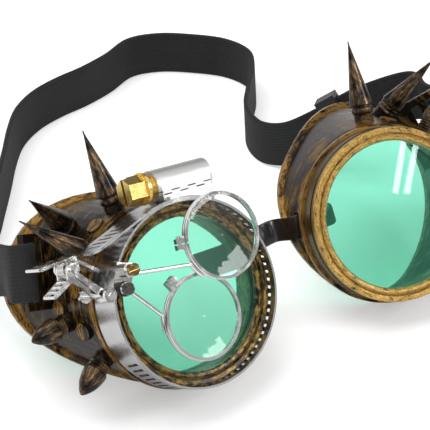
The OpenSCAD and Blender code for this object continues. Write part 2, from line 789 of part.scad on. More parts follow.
module lower_pivot_screw() { color("#3a3a3a") pivot_screw(lower_pivot, lower_plane); }

// Arm: an eye round the stub and a wire that bends to lie along the loupe's rim. It meets the
// rim at an angle round the loupe and leaves the eye at a drop from the pivot.
eye_r = 2;
wrap = 22;
wrap_r = loupe_r + arm_r + 0.02;
module arm(pivot, centre, plane, meets, drop) {
    bend = centre + polar(wrap_r, meets);
    way = unit(bend - pivot);
    start = pivot + 1.2 * way + drop * [-way[1], way[0]];
    run = bend - start;
    on_cup(-1)
        translate([0, 0, plane])
            difference() {
                union() {
                    translate(pivot) cylinder(r = eye_r, h = eye_t, center = true);
                    translate(start)
                        rotate([0, 0, atan2(run[1], run[0])])
                            rotate([0, 90, 0])
                                cylinder(r = arm_r, h = norm(run), $fn = 32);
                    translate(bend) sphere(r = 1.15 * arm_r, $fn = 32);
                    translate(centre)
                        rotate([0, 0, meets - wrap])
                            rotate_extrude(angle = wrap)
                                translate([wrap_r, 0]) circle(r = arm_r, $fn = 32);
                }
                translate(pivot) cylinder(r = stub_r + joint_gap, h = 5, center = true);
            }
}
module upper_arm() { color("#c8c8c8") arm(upper_pivot, upper_centre, upper_plane, -20, 1.2); }
module lower_arm() { color("#c8c8c8") arm(lower_pivot, lower_centre, lower_plane, 21, 0); }

// Loupe rim: a thin ring with a groove inside for the lens and a shallow one outside, split
// between two lugs that a lock screw draws together
loupe_lens_r = loupe_r - 0.7;
upper_lock_turn = 8;
lower_lock_turn = 61;
lock_side = 3.4;
lock_split = 0.35;
lock_r = 0.5;
lock_at = loupe_r + 1.5;
module loupe_rim(centre, plane, lock_turn) {
    wire = loupe_rim_w / 2;
    bore_r = loupe_r - 1.1;
    half = [
        [loupe_lens_r, wire - 0.5], [bore_r, wire - 0.5], [bore_r, wire], [loupe_r - 0.2, wire],
        [loupe_r, wire - 0.25], [loupe_r, 0.3]
    ];
    other_half = [for (k = [len(half) - 1 : -1 : 0]) [half[k][0], -half[k][1]]];
    lug_w = 2 * wire - 0.4;
    on_cup(-1)
        translate([centre[0], centre[1], plane])
            difference() {
                union() {
                    rotate_extrude() polygon(concat(half, [[loupe_r - 0.3, 0]], other_half));
                    rotate([0, 0, lock_turn])
                        translate([loupe_r - 0.45, -lock_side / 2, -lug_w / 2]) cube([lock_side, lock_side, lug_w]);
                }
                rotate([0, 0, lock_turn]) {
                    translate([loupe_r - 2, -lock_split / 2, -2 * wire]) cube([lock_side + 3, lock_split, 4 * wire]);
                    translate([lock_at, 0, 0]) rotate([90, 0, 0]) cylinder(r = lock_r, h = lock_side + 2, center = true);
                }
            }
}
module upper_rim() { color("#d6d6d6") loupe_rim(upper_centre, upper_plane, upper_lock_turn); }
module lower_rim() { color("#d6d6d6") loupe_rim(lower_centre, lower_plane, lower_lock_turn); }

module loupe_lens(centre, plane) {
    bulge = loupe_rim_w / 2 - 0.1;
    edge = loupe_rim_w / 2 - 0.6;
    steps = 8;
    front = [for (k = [0 : steps]) [loupe_lens_r * k / steps, edge + (bulge - edge) * (1 - pow(k / steps, 2))]];
    back = [for (k = [steps : -1 : 0]) [front[k][0], -front[k][1]]];
    on_cup(-1)
        translate([centre[0], centre[1], plane])
            rotate_extrude() polygon(concat(front, back));
}
module upper_loupe_lens() { color("#dff0ec") loupe_lens(upper_centre, upper_plane); }
module lower_loupe_lens() { color("#dff0ec") loupe_lens(lower_centre, lower_plane); }

// Lock screw through both lugs of a rim, with a slotted head
module lock_screw(centre, plane, lock_turn) {
    on_cup(-1)
        translate([centre[0], centre[1], plane])
            rotate([0, 0, lock_turn])
                translate([lock_at, 0, 0])
                    rotate([-90, 0, 0]) {
                        translate([0, 0, -lock_side / 2]) cylinder(r = lock_r, h = lock_side);
                        translate([0, 0, lock_side / 2])
                            difference() {
                                cylinder(r = 0.95, h = 0.7);
                                translate([-2, -0.15, 0.4]) cube([4, 0.3, 1]);
                            }
                    }
}
module upper_lock_screw() { color("#b0b0b0") lock_screw(upper_centre, upper_plane, upper_lock_turn); }
module lower_lock_screw() { color("#b0b0b0") lock_screw(lower_centre, lower_plane, lower_lock_turn); }

left_cup();
right_cup();
left_gasket();
right_gasket();
left_lens();
right_lens();
left_ring();
right_ring();
left_horns();
right_horns();
left_bullets();
right_bullets();
bridge_strap();
bridge_studs();
head_strap();
strap_slider();
clamp_band();
clamp_housing();
worm_screw();
clip_body();
clip_pin();
clip_spring();
clip_lever();
clip_rod();
clip_pads();
knuckle_blocks();
upper_pivot_screw();
lower_pivot_screw();
upper_arm();
upper_rim();
upper_loupe_lens();
upper_lock_screw();
lower_arm();
lower_rim();
lower_loupe_lens();
lower_lock_screw();
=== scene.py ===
"""Steampunk goggles on a white table: two horned cups, a hose clamp and a clip-on double loupe."""
import math

import bmesh
import bpy
from mathutils import Matrix, Vector


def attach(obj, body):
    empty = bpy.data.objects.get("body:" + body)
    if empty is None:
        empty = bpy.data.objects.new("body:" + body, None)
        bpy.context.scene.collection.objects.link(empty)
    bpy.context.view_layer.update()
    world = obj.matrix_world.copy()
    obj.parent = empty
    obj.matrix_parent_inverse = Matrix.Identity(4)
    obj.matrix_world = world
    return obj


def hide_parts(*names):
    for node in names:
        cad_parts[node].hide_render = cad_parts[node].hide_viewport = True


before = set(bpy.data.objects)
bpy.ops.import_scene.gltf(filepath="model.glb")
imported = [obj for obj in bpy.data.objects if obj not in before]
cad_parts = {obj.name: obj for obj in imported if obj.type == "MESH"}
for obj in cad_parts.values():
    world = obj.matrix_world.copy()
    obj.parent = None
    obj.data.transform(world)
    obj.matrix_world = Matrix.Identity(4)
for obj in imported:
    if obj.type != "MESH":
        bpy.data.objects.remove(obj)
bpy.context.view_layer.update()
MM = 0.001

# Viewpoint. A long lens looks down at the goggles from the front left and leans a little to
# one side. The far cup and the back of the strap run out of the picture.
VIEW_FROM = Vector((-243.2, -480.6, 364.0)) * MM
VIEW_AZIMUTH = math.radians(-28.49)
VIEW_DOWN = math.radians(33.91)
VIEW_ROLL = math.radians(-3.44)
FOCAL_MM = 150.7

forward = Vector((-math.sin(VIEW_AZIMUTH) * math.cos(VIEW_DOWN),
                  math.cos(VIEW_AZIMUTH) * math.cos(VIEW_DOWN), -math.sin(VIEW_DOWN)))
level_right = Vector((math.cos(VIEW_AZIMUTH), math.sin(VIEW_AZIMUTH), 0))
level_up = level_right.cross(forward)
right = level_right * math.cos(VIEW_ROLL) + level_up * math.sin(VIEW_ROLL)
up = right.cross(forward)
camera_data = bpy.data.cameras.new("camera")
camera_data.lens = FOCAL_MM
camera_data.sensor_width = 36
camera_data.clip_start = 0.01
camera = bpy.data.objects.new("camera", camera_data)
camera.matrix_world = Matrix((right, up, -forward)).transposed().to_4x4()
camera.location = VIEW_FROM
bpy.context.collection.objects.link(camera)
scene = bpy.context.scene
scene.camera = camera
scene.view_settings.view_transform = "Standard"


# Table and light. A white table top in a room whose walls are dark above the horizon and light
# overhead, with soft lamps above and at the sides, and a pair of tubes that the lenses show.
def new_tree(owner):
    owner.use_nodes = True
    owner.node_tree.nodes.clear()
    return owner.node_tree


def fill(tree, made, inputs):
    """Sets a node's inputs to values, or links them to other sockets."""
    for key, value in inputs.items():
        if isinstance(value, bpy.types.NodeSocket):
            tree.links.new(value, made.inputs[key])
        else:
            made.inputs[key].default_value = value


def node(tree, kind, inputs=None, **settings):
    """A node with its settings and its inputs."""
    made = tree.nodes.new(kind)
    for key, value in settings.items():
        setattr(made, key, value)
    fill(tree, made, inputs or {})
    return made


def calc(tree, operation, *values):
    """A Math node's result."""
    return node(tree, "ShaderNodeMath", dict(enumerate(values)), operation=operation).outputs[0]


def joined(tree, x, y, z):
    return node(tree, "ShaderNodeCombineXYZ", {0: x, 1: y, 2: z}).outputs[0]


def split(tree, vector):
    """A vector's three numbers."""
    return node(tree, "ShaderNodeSeparateXYZ", {0: vector}).outputs


def ramp(tree, value, start, end, curve="SMOOTHSTEP"):
    """A change from one pair of a value and its result to another."""
    return node(tree, "ShaderNodeMapRange", {
        "Value": value, "From Min": start[0], "From Max": end[0], "To Min": start[1], "To Max": end[1]},
        interpolation_type=curve).outputs[0]


def add_object(name, mesh):
    made = bpy.data.objects.new(name, mesh)
    bpy.context.collection.objects.link(made)
    return made


TABLE_HALF, TABLE_GLOW, TABLE_WHITE = 3.0, 0.36, 0.8
CORNERS = ((-1, -1), (1, -1), (1, 1), (-1, 1))
table_mesh = bpy.data.meshes.new("table")
table_mesh.from_pydata([(x * TABLE_HALF, y * TABLE_HALF, 0) for x, y in CORNERS], [], [(0, 1, 2, 3)])
add_object("table", table_mesh)
white = bpy.data.materials.new("white_table")
tree = new_tree(white)
seen = node(tree, "ShaderNodeLightPath")
shown = calc(tree, "MAXIMUM", seen.outputs["Is Camera Ray"], seen.outputs["Is Transmission Ray"])
plain = node(tree, "ShaderNodeBsdfDiffuse", {"Color": (TABLE_WHITE, TABLE_WHITE, TABLE_WHITE, 1)})
glow = node(tree, "ShaderNodeEmission", {"Strength": calc(tree, "MULTIPLY", shown, TABLE_GLOW)})
both = node(tree, "ShaderNodeAddShader", {0: plain.outputs[0], 1: glow.outputs[0]})
node(tree, "ShaderNodeOutputMaterial", {"Surface": both.outputs[0]})
table_mesh.materials.append(white)

# the room's strength as a light, and as metals mirror it: pairs of a direction's height and a strength
ROOM_LIGHT = 0.45
LOW_WALL, DARK_WALL = (0.08, 0.9), (0.36, 0.07)
UPPER_WALL, CEILING = (0.5, 0.0), (0.8, 0.95)
room = bpy.data.worlds.new("white_room")
scene.world = room
tree = new_tree(room)
seen = node(tree, "ShaderNodeLightPath")
direction = node(tree, "ShaderNodeTexCoord").outputs["Generated"]
height = split(tree, direction)[2]
low = ramp(tree, height, LOW_WALL, DARK_WALL)
high = ramp(tree, height, UPPER_WALL, CEILING)
shown = calc(tree, "MAXIMUM", seen.outputs["Is Camera Ray"], seen.outputs["Is Transmission Ray"])
plain = calc(tree, "MULTIPLY_ADD", shown, 1 - ROOM_LIGHT, ROOM_LIGHT)
mirrored = node(tree, "ShaderNodeMix", {"Factor": seen.outputs["Is Glossy Ray"], 2: plain,
                                        3: calc(tree, "ADD", low, high)}).outputs[0]
walls = node(tree, "ShaderNodeBackground", {"Color": (1, 1, 1, 1), "Strength": mirrored})
node(tree, "ShaderNodeOutputWorld", {"Surface": walls.outputs[0]})


def lamp(name, place, aim, width, length, watts):
    data = bpy.data.lights.new(name, "AREA")
    data.shape = "RECTANGLE"
    data.size, data.size_y = width, length
    data.energy = watts
    made = add_object(name, data)
    made.location = place
    return made, (Vector(aim) - Vector(place)).normalized()


# each square lamp: name, place, side in metres and watts
LAMPS = (("overhead", (-0.25, 0.1, 0.9), 0.8, 7), ("front_right", (0.6, -0.7, 0.6), 0.3, 2.5),
         ("back_left", (-0.5, 0.7, 0.8), 0.2, 0.6), ("front_left", (-0.45, -0.85, 0.75), 0.35, 1.2))
LAMP_AIM = (0, -0.05, 0)
for name, place, size, watts in LAMPS:
    made, way = lamp(name, place, LAMP_AIM, size, size, watts)
    made.rotation_euler = way.to_track_quat("-Z", "Y").to_euler()
    made.visible_glossy = name != "overhead"

# each tube runs between two points, and faces the far lens
TUBE_WIDTH, TUBE_WATTS, TUBE_AIM = 0.0045, 0.03, (0.04, -0.085, 0.036)
TUBES = (((0.31, -0.824, 0.51), (0.23, -0.896, 0.37)), ((0.319, -0.829, 0.499), (0.239, -0.897, 0.367)))
for k, (top, foot) in enumerate(TUBES):
    top, foot = Vector(top), Vector(foot)
    middle = (top + foot) / 2
    made, way = lamp("tube_%d" % k, middle, TUBE_AIM, TUBE_WIDTH, (top - foot).length, TUBE_WATTS)
    along = (top - foot).normalized()
    face = (way - way.dot(along) * along).normalized()
    made.rotation_euler = Matrix((along.cross(-face), along, -face)).transposed().to_euler()


# Eye cups. Each is one deep black moulding, open behind, with a flared oval rim that follows
# the face. It was washed in brown and then brushed with old gold, which stays on what stands
# proud: the rim's lip, the flange behind the ring, the bosses and five round pads on the wall.
LENS_SPACING, LENS_HEIGHT, MIDDLE = 76.4 * MM, 36.3 * MM, 85.5 * MM
PITCH, TOE = math.radians(30), math.radians(8.5)
CUPS = {"left": -1, "right": 1}


def cup_frame(side):
    """A cup's own frame: X to the wearer's right, Y up the face of the lens, Z to the back."""
    place = Matrix.Translation((side * LENS_SPACING / 2, -MIDDLE, LENS_HEIGHT))
    turn = Matrix.Rotation(-PITCH, 4, "X") @ Matrix.Rotation(-side * TOE, 4, "Z")
    return place @ turn @ Matrix.Rotation(math.pi, 4, "Z") @ Matrix.Rotation(math.pi / 2, 4, "X")


def on_cup(side, out, rise, depth):
    """A point of a cup in millimetres: out to the temple, up the lens face, back from its front."""
    return cup_frame(side) @ (Vector((-side * out, rise, depth)) * MM)


def object_place(tree):
    return node(tree, "ShaderNodeTexCoord").outputs["Object"]


def own_place(tree, side):
    """Object coordinates turned into a cup's own frame, in millimetres."""
    at = cup_frame(side)
    return node(tree, "ShaderNodeMapping", {
        "Vector": object_place(tree), "Location": at.translation, "Rotation": at.to_euler(),
        "Scale": (MM, MM, MM)}, vector_type="TEXTURE").outputs[0]


def finish(name):
    """A material with a Principled shader."""
    made = bpy.data.materials.new(name)
    tree = new_tree(made)
    shader = node(tree, "ShaderNodeBsdfPrincipled")
    node(tree, "ShaderNodeOutputMaterial", {"Surface": shader.outputs[0]})
    return made, tree, shader


def blended(tree, mask, low, high):
    """A colour between two, by a mask."""
    low, high = (value if isinstance(value, bpy.types.NodeSocket) else (*value, 1) for value in (low, high))
    return node(tree, "ShaderNodeMix", {0: mask, 6: low, 7: high}, data_type="RGBA").outputs[2]


def eased(tree, value, low, high):
    """0 below low and 1 above high, smooth between."""
    return ramp(tree, value, (low, 0.0), (high, 1.0))


def noise(tree, place, scale, detail, rough=0.5):
    return node(tree, "ShaderNodeTexNoise", {
        "Vector": place, "Scale": scale, "Detail": detail, "Roughness": rough}).outputs[0]


def bumped(tree, height, depth):
    return node(tree, "ShaderNodeBump", {"Height": height, "Strength": 1.0, "Distance": depth}).outputs[0]


def dress(made, *names):
    for name in names:
        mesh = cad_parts[name].data
        mesh.materials.clear()
        mesh.materials.append(made)


def group(name, inputs, outputs):
    """An empty shader group with named number and vector inputs and number outputs."""
    made = bpy.data.node_groups.new(name, "ShaderNodeTree")
    for key, value in inputs.items():
        kind = "NodeSocketVector" if key == "Place" else "NodeSocketFloat"
        socket = made.interface.new_socket(key, in_out="INPUT", socket_type=kind)
        if key != "Place":
            socket.default_value = value
    for key in outputs:
        made.interface.new_socket(key, in_out="OUTPUT", socket_type="NodeSocketFloat")
    return made, node(made, "NodeGroupInput").outputs


def placed(tree, made, inputs):
    shown = node(tree, "ShaderNodeGroup", node_tree=made)
    fill(tree, shown, inputs)
    return shown.outputs


# dry brushing: gold that a nearly dry brush leaves in short strokes on a dark wash
dry_brush, given = group("dry_brush", {"Place": None, "Size": 1.0, "Stretch": 4.0, "Amount": 0.5},
                         ("Gold", "Grit", "Height"))
shorter = joined(dry_brush, calc(dry_brush, "DIVIDE", 1.0, given["Stretch"]), 1.0, 1.0)
strokes_at = node(dry_brush, "ShaderNodeVectorMath", {0: given["Place"], 1: shorter},
                  operation="MULTIPLY").outputs[0]
strokes = noise(dry_brush, strokes_at, given["Size"], 6.0, 0.7)
patches = noise(dry_brush, given["Place"], calc(dry_brush, "MULTIPLY", given["Size"], 0.22), 3.0)
mixed = calc(dry_brush, "ADD", calc(dry_brush, "MULTIPLY", strokes, 0.65),
             calc(dry_brush, "MULTIPLY", patches, 0.35))
edge = calc(dry_brush, "SUBTRACT", 1.0, given["Amount"])
gold = eased(dry_brush, mixed, calc(dry_brush, "MULTIPLY_ADD", edge, 0.4, 0.24),
             calc(dry_brush, "MULTIPLY_ADD", edge, 0.4, 0.38))
grit = noise(dry_brush, given["Place"], calc(dry_brush, "MULTIPLY", given["Size"], 5.0), 2.0)
speckle = noise(dry_brush, strokes_at, calc(dry_brush, "MULTIPLY", given["Size"], 3.5), 2.0)
kept = calc(dry_brush, "MULTIPLY_ADD", eased(dry_brush, speckle, 0.36, 0.5), 0.75, 0.25)
left = calc(dry_brush, "MULTIPLY", gold, kept)
raised = calc(dry_brush, "ADD", calc(dry_brush, "MULTIPLY", left, 0.6),
              calc(dry_brush, "MULTIPLY", grit, 0.4))
node(dry_brush, "NodeGroupOutput", {"Gold": left, "Grit": grit, "Height": raised})

WASH_DARK, WASH_BROWN = (0.003, 0.0024, 0.002), (0.014, 0.009, 0.005)
OLD_GOLD = (0.42, 0.225, 0.05)
PAINTED_LIGHT_GOLD = {"left": (0.46, 0.30, 0.08), "right": (0.72, 0.45, 0.12)}
PADS = ((63, 20), (27, 36), (12, 27), (-2, 18), (23, 18))
PAD_EDGE, PAD_RISE = (2.6, 3.1), 0.7
RIM_OUT, RIM_IN, RIM_UP, RIM_DOWN, TEMPLE = 38, 29, 33.3, 27.2, math.radians(37)
RIM_DEPTH, RISE_OUT, RISE_IN = 32, 25, 15.6
RING_R, WALL_GAP, WALL_FROM, LIP_REACH, LIP_WIDTH = 28.58, 0.3, 11, 1.6, 3
WALL_FRONT_R = RING_R + WALL_GAP
SQUARENESS, FLARE = 0.88, 0.8
FLANGE_END, LIP_FADE = (12.2, 13.4), (-6.5, -3.0)
UNROLL_R = 28.0


def rim_depth(turn):
    """Depth of the rim's back edge at an angle from the temple corner."""
    return RIM_DEPTH + math.cos(turn) * (RISE_OUT if math.cos(turn) > 0 else RISE_IN)


def wall_radius(angle, depth):
    """Radius of the wall at an angle round the lens axis and a depth, in millimetres."""
    turn = math.radians(angle) - TEMPLE
    across, up = math.cos(turn), math.sin(turn)
    across = abs(across) ** SQUARENESS * (RIM_OUT if across > 0 else RIM_IN)
    up = abs(up) ** SQUARENESS * (RIM_UP if up > 0 else RIM_DOWN)
    share = min(1, max(0, (depth - WALL_FROM) / (rim_depth(turn) - LIP_WIDTH - WALL_FROM)))
    return WALL_FRONT_R + (math.hypot(across, up) - LIP_REACH - WALL_FRONT_R) * share ** FLARE


def polar(radius, angle, depth):
    return radius * math.cos(math.radians(angle)), radius * math.sin(math.radians(angle)), depth


def rolled_out(tree, parts):
    """A cup's surface laid flat, in millimetres: round the lens axis, out from it, and back."""
    around = calc(tree, "MULTIPLY", calc(tree, "ARCTAN2", parts[0], parts[1]), UNROLL_R)
    radius = calc(tree, "SQRT", calc(tree, "ADD", calc(tree, "MULTIPLY", parts[0], parts[0]),
                                     calc(tree, "MULTIPLY", parts[1], parts[1])))
    return joined(tree, around, radius, parts[2])


for name, side in CUPS.items():
    made, tree, shader = finish("aged_plastic_" + name)
    place = own_place(tree, side)
    parts = split(tree, place)
    # the lip: how far a point lies behind the wall's end, which a tilted plane follows closely
    across = calc(tree, "MULTIPLY", parts[0], -side)
    toward = calc(tree, "ADD", calc(tree, "MULTIPLY", across, math.cos(TEMPLE)),
                  calc(tree, "MULTIPLY", parts[1], math.sin(TEMPLE)))
    slope = ramp(tree, toward, (-RIM_IN, RIM_DEPTH - RISE_IN), (RIM_OUT, RIM_DEPTH + RISE_OUT), "LINEAR")
    behind = calc(tree, "SUBTRACT", parts[2], slope)
    lip = eased(tree, behind, *LIP_FADE)
    flange = calc(tree, "SUBTRACT", 1.0, eased(tree, parts[2], *FLANGE_END))
    proud = calc(tree, "MAXIMUM", calc(tree, "MULTIPLY", lip, 0.9), calc(tree, "MULTIPLY", flange, 0.8))
    for angle, depth in PADS:
        spot = Vector(polar(wall_radius(angle, depth) + PAD_RISE, angle, depth))
        spot.x *= -side
        away = node(tree, "ShaderNodeVectorMath", {0: place, 1: spot}, operation="DISTANCE").outputs["Value"]
        top = calc(tree, "SUBTRACT", 1.0, eased(tree, away, *PAD_EDGE))
        proud = calc(tree, "MAXIMUM", proud, calc(tree, "MULTIPLY", top, 0.7))
    unrolled = rolled_out(tree, parts)
    brushed = placed(tree, dry_brush, {"Place": unrolled, "Size": 0.5, "Stretch": 4.5,
                                       "Amount": calc(tree, "MULTIPLY_ADD", proud, 0.26, 0.4)})
    gold = calc(tree, "MULTIPLY", brushed["Gold"], calc(tree, "MULTIPLY_ADD", proud, 0.45, 0.5))
    wash = blended(tree, brushed["Grit"], WASH_DARK, WASH_BROWN)
    fill(tree, shader, {
        "Base Color": blended(tree, gold, wash, OLD_GOLD), "Metallic": calc(tree, "MULTIPLY", gold, 0.7),
        "Roughness": calc(tree, "MULTIPLY_ADD", gold, 0.22, 0.16), "Coat Weight": 0.06,
        "Coat Roughness": 0.03, "Specular IOR Level": 0.22,
        "Normal": bumped(tree, brushed["Height"], 0.0001)})
    dress(made, name + "_cup")

# Lens rings. Each is a dark ring with a round bead at its front and a threaded skirt behind. Old
# gold is brushed round the bead, and fine turning lines run round the skirt. The far ring's gold
# is painted brighter and wider as painted light, and the near ring's darker as painted shade.
# painted light and shade: each ring's share of gold on the bead and its gold colour, brighter on the far ring
# and darker on the near one
PAINTED_LIGHT_BEAD_SHARE, SKIRT_GOLD = {"left": 0.52, "right": 0.71}, 0.2
BEAD_END, FOOT_FROM = (1.6, 2.6), (8.6, 9.3)
for name, side in CUPS.items():
    made, tree, shader = finish("aged_bronze_ring_" + name)
    place = own_place(tree, side)
    parts = split(tree, place)
    unrolled = rolled_out(tree, parts)
    front = calc(tree, "SUBTRACT", 1.0, eased(tree, parts[2], *BEAD_END))
    foot = eased(tree, parts[2], *FOOT_FROM)
    proud = calc(tree, "MAXIMUM", front, calc(tree, "MULTIPLY", foot, 0.7))
    amount = calc(tree, "MULTIPLY_ADD", proud, PAINTED_LIGHT_BEAD_SHARE[name] - SKIRT_GOLD, SKIRT_GOLD)
    brushed = placed(tree, dry_brush, {"Place": unrolled, "Size": 1.6, "Stretch": 3.6, "Amount": amount})
    gold = calc(tree, "MULTIPLY", brushed["Gold"], calc(tree, "MULTIPLY_ADD", proud, 0.65, 0.35))
    lines = node(tree, "ShaderNodeTexWave", {
        "Vector": unrolled, "Scale": 0.34, "Distortion": 0.3, "Detail": 1.0},
        wave_type="BANDS", bands_direction="Z").outputs[1]
    turned = calc(tree, "MULTIPLY", lines, calc(tree, "SUBTRACT", 1.0, front))
    height = calc(tree, "MULTIPLY_ADD", turned, 1.5, brushed["Height"])
    gold = calc(tree, "MAXIMUM", gold, calc(tree, "MULTIPLY", eased(tree, turned, 0.55, 0.95), 0.4))
    fill(tree, shader, {
        "Base Color": blended(tree, gold, WASH_DARK, PAINTED_LIGHT_GOLD[name]),
        "Metallic": calc(tree, "MULTIPLY_ADD", gold, 0.45, 0.45),
        "Roughness": calc(tree, "MULTIPLY_ADD", brushed["Grit"], 0.25, 0.2), "Coat Weight": 0.25,
        "Coat Roughness": 0.15, "Normal": bumped(tree, height, 0.00012)})
    dress(made, name + "_ring")

# Lenses. Flat discs of clear green plastic, 2 mm thick, polished on both faces, with a few
# faint scuffs. Light that falls through them is tinted.
LENS_GREENS, LENS_TINT = ((0.28, 0.85, 0.62), (0.33, 0.90, 0.68)), (0.42, 0.93, 0.75)


def lit_through(tree, shader, tint):
    """Lets a lamp's light pass through a clear piece, in its tint."""
    passing = node(tree, "ShaderNodeBsdfTransparent", {"Color": (*tint, 1)})
    shaded = node(tree, "ShaderNodeLightPath").outputs["Is Shadow Ray"]
    both = node(tree, "ShaderNodeMixShader", {0: shaded, 1: shader.outputs[0], 2: passing.outputs[0]})
    tree.links.new(both.outputs[0], tree.nodes["Material Output"].inputs["Surface"])


made, tree, shader = finish("green_lens")
spot = object_place(tree)
scuffs = noise(tree, spot, 160.0, 6.0, 0.75)
cloud = noise(tree, spot, 40.0, 2.0)
fill(tree, shader, {
    "Base Color": blended(tree, cloud, *LENS_GREENS), "Transmission Weight": 0.94,
    "Roughness": calc(tree, "MULTIPLY", eased(tree, scuffs, 0.55, 0.8), 0.12), "IOR": 1.49})
lit_through(tree, shader, LENS_TINT)
dress(made, "left_lens", "right_lens")

# Gaskets. A flat ring behind each lens, cut from black rubber sheet. The screwed ring presses
# the lens on it.
RUBBER = ((0.010, 0.010, 0.011), (0.035, 0.034, 0.033))
made, tree, shader = finish("gasket_rubber")
spot = object_place(tree)
dust = noise(tree, spot, 900.0, 4.0)
fill(tree, shader, {"Base Color": blended(tree, dust, *RUBBER),
                    "Roughness": calc(tree, "MULTIPLY_ADD", dust, 0.3, 0.55),
                    "Normal": bumped(tree, dust, 0.00005)})
dress(made, "left_gasket", "right_gasket")

# Horns and bullets. Turned and screwed into their bosses: long cones and short round-nosed
# bullets, each on a neck with turned collars. Gold is rubbed along their dark bronze.
HORN_LEN, HORN_R, BULLET_LEN, BULLET_R = 22, 4, 9, 3.85
HORN_SEATS = ((79.3, 20, 1.8), (58.5, 31.1, 1.9), (41.8, 13.2, 0.6))
HORN_WAYS = ((0.09, 1, 0), (14, 10.9, -12), polar(1, 43, 0))
HORN_NECKS, HORN_COLLARS = (3, 3.4, 4.8), (1, 2, 5)
BULLET_SEATS = ((3.8, 25, 1.6), (-23.5, 18, 1.4))
BULLET_WAYS = (polar(1, -6, 0), polar(1, -34, 0))
BULLET_NECKS, BULLET_COLLARS = (3, 3), (3, 3)
# length, radius, roundness and fullness of a cone and of a round nose
HORN_SHAPE, BULLET_SHAPE = (HORN_LEN, HORN_R, 1.0, 1.0), (BULLET_LEN, BULLET_R, 2.1, 0.75)
BRONZE_DARKS, BRONZE_GOLD = ((0.006, 0.005, 0.004), (0.075, 0.055, 0.04)), (0.44, 0.25, 0.085)


def geometry_tree(name, inputs):
    """An empty Geometry Nodes tree with named inputs, each a socket kind and a default."""
    made = bpy.data.node_groups.new(name, "GeometryNodeTree")
    for way in ("INPUT", "OUTPUT"):
        made.interface.new_socket("Geometry", in_out=way, socket_type="NodeSocketGeometry")
    for key, (kind, value) in inputs.items():
        socket = made.interface.new_socket(key, in_out="INPUT", socket_type="NodeSocket" + kind)
        if value is not None:
            socket.default_value = value
    return made, node(made, "NodeGroupInput").outputs


def grown(name, seeds, shape, values):
    """A plain mesh object that a tree makes from a seed mesh."""
    made = add_object(name, seeds)
    modifier = made.modifiers.new("shape", "NODES")
    modifier.node_group = shape
    for item in shape.interface.items_tree:
        if item.in_out == "INPUT" and item.name in values:
            modifier[item.identifier] = values[item.name]
    mesh = bpy.data.meshes.new_from_object(made.evaluated_get(bpy.context.evaluated_depsgraph_get()))
    made.modifiers.remove(modifier)
    made.data = mesh
    return made


def outward(mesh):
    """Turns all faces to the outside."""
    made = bmesh.new()
    made.from_mesh(mesh)
    bmesh.ops.recalc_face_normals(made, faces=made.faces)
    made.to_mesh(mesh)
    made.free()


def seeded(name, places, **values):
    """A mesh of points that carry values: numbers, or directions as vectors."""
    mesh = bpy.data.meshes.new(name)
    mesh.from_pydata(places, [], [])
    for key, found in values.items():
        vectors = isinstance(found[0], Vector)
        layer = mesh.attributes.new(key, "FLOAT_VECTOR" if vectors else "FLOAT", "POINT")
        for i, value in enumerate(found):
            setattr(layer.data[i], "vector" if vectors else "value", value)
    return mesh


def carried(tree, key, kind="FLOAT"):
    return node(tree, "GeometryNodeInputNamedAttribute", {"Name": key}, data_type=kind).outputs["Attribute"]


def stored(tree, geometry, key, vector):
    return node(tree, "GeometryNodeStoreNamedAttribute", {"Geometry": geometry, "Name": key, "Value": vector},
                data_type="FLOAT_VECTOR", domain="POINT").outputs[0]


# a flat sheet at each seat is rolled up: collars for the neck, then a cone or a round nose
ROWS, AROUND, NECK_SHARE, NOSE_TIP = 76, 28, 0.3, 0.07
COLLAR_LOW, COLLAR_RISE, COLLAR_ROUND = 0.68, 0.22, 0.6
spike, given = geometry_tree("turned_spike", {
    "Length": ("Float", 0.022), "Radius": ("Float", 0.004), "Roundness": ("Float", 1.0),
    "Fullness": ("Float", 1.0), "Material": ("Material", None)})
flat = node(spike, "GeometryNodeMeshGrid", {"Size X": 1.0, "Size Y": 1.0, "Vertices X": ROWS,
                                            "Vertices Y": AROUND + 1}).outputs["Mesh"]
flat = stored(spike, flat, "sheet", node(spike, "GeometryNodeInputPosition").outputs[0])
standing = node(spike, "GeometryNodeInstanceOnPoints", {
    "Points": given["Geometry"], "Instance": flat}).outputs[0]
standing = node(spike, "GeometryNodeRealizeInstances", {"Geometry": standing}).outputs[0]
parts = split(spike, carried(spike, "sheet", "FLOAT_VECTOR"))
height = calc(spike, "ADD", parts[0], 0.5)
turn = calc(spike, "MULTIPLY_ADD", parts[1], 2 * math.pi, math.pi)
below = calc(spike, "MINIMUM", calc(spike, "DIVIDE", height, NECK_SHARE), 1.0)
above = calc(spike, "DIVIDE", calc(spike, "SUBTRACT", height, NECK_SHARE), 1 - NECK_SHARE)
above = calc(spike, "MINIMUM", calc(spike, "MAXIMUM", above, 0.0), 1.0)
waves = calc(spike, "MULTIPLY", below, calc(spike, "MULTIPLY", carried(spike, "collars"), math.pi))
waves = calc(spike, "POWER", calc(spike, "ABSOLUTE", calc(spike, "SINE", waves)), COLLAR_ROUND)
neck_r = calc(spike, "MULTIPLY", calc(spike, "MULTIPLY_ADD", waves, COLLAR_RISE, COLLAR_LOW),
              calc(spike, "MINIMUM", calc(spike, "MULTIPLY", below, 40.0), 1.0))
taper = calc(spike, "POWER", calc(spike, "SUBTRACT", 1.0, calc(spike, "POWER", above, given["Roundness"])),
             given["Fullness"])
edge = calc(spike, "MINIMUM", calc(spike, "MULTIPLY_ADD", above, 12.0, 0.9), 1.0)
tip = calc(spike, "SQRT", calc(spike, "MINIMUM", calc(spike, "MULTIPLY", calc(
    spike, "SUBTRACT", 1.0, above), 30.0), 1.0))
nose_r = calc(spike, "MAXIMUM", calc(spike, "MULTIPLY", taper, edge), NOSE_TIP)
nose_r = calc(spike, "MULTIPLY", nose_r, tip)
is_nose = calc(spike, "GREATER_THAN", height, NECK_SHARE + 0.001)
share = calc(spike, "ADD", calc(spike, "MULTIPLY", is_nose, nose_r),
             calc(spike, "MULTIPLY", calc(spike, "SUBTRACT", 1.0, is_nose), neck_r))
